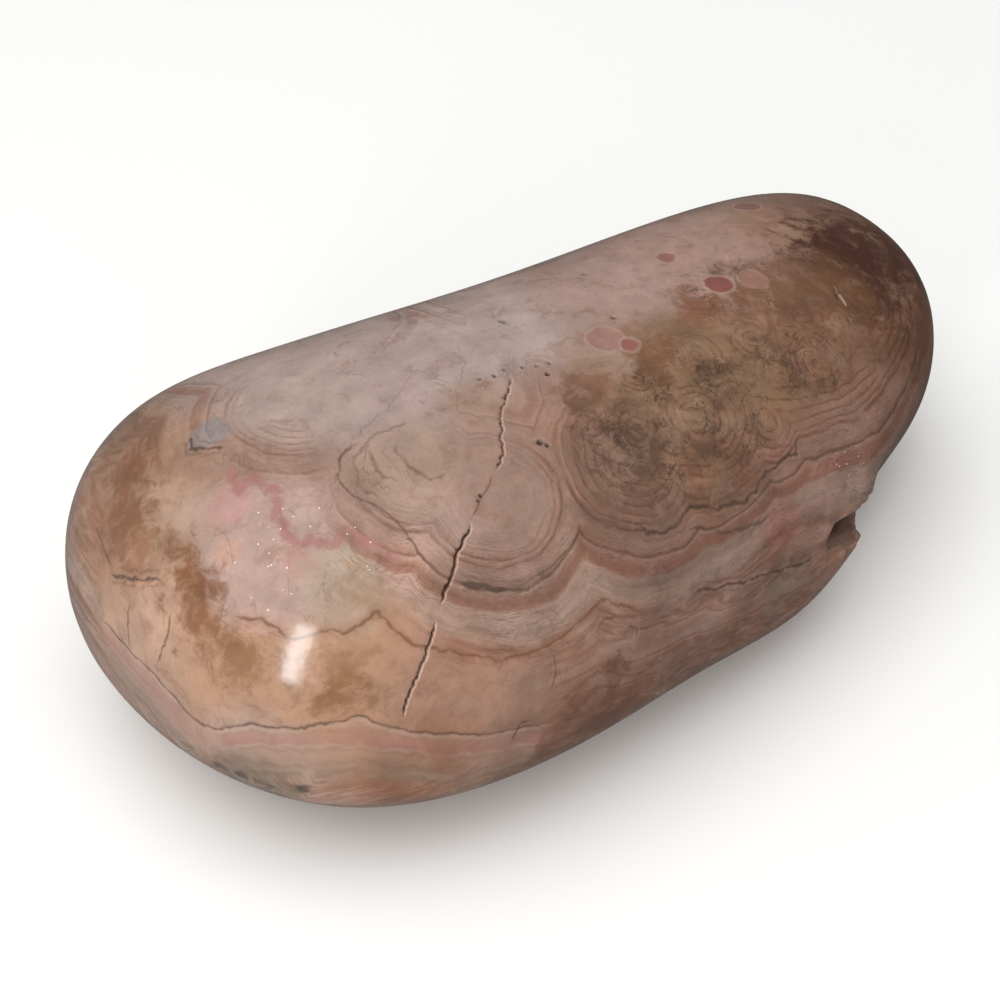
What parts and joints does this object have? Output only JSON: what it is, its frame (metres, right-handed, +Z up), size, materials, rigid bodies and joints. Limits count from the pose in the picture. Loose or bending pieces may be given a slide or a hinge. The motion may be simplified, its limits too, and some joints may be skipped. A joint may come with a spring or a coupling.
{
  "type": "rhodochrosite specimen",
  "caption": "Polished free-form banded rhodochrosite stone, broad at one end and narrow at the other, lying on a small worn flat.",
  "frame": {"origin": "on the resting plane, under the middle of the stone's bounding box", "axes": "+X along the stone, from the broad end to the narrow end; +Z up from the resting flat"},
  "size_m": [0.1398, 0.0714, 0.0548],
  "materials": {
    "polished_rhodochrosite": "polished, banded"
  },
  "bodies": {
    "root": {"stone": "polished_rhodochrosite"}
  },
  "joints": []
}
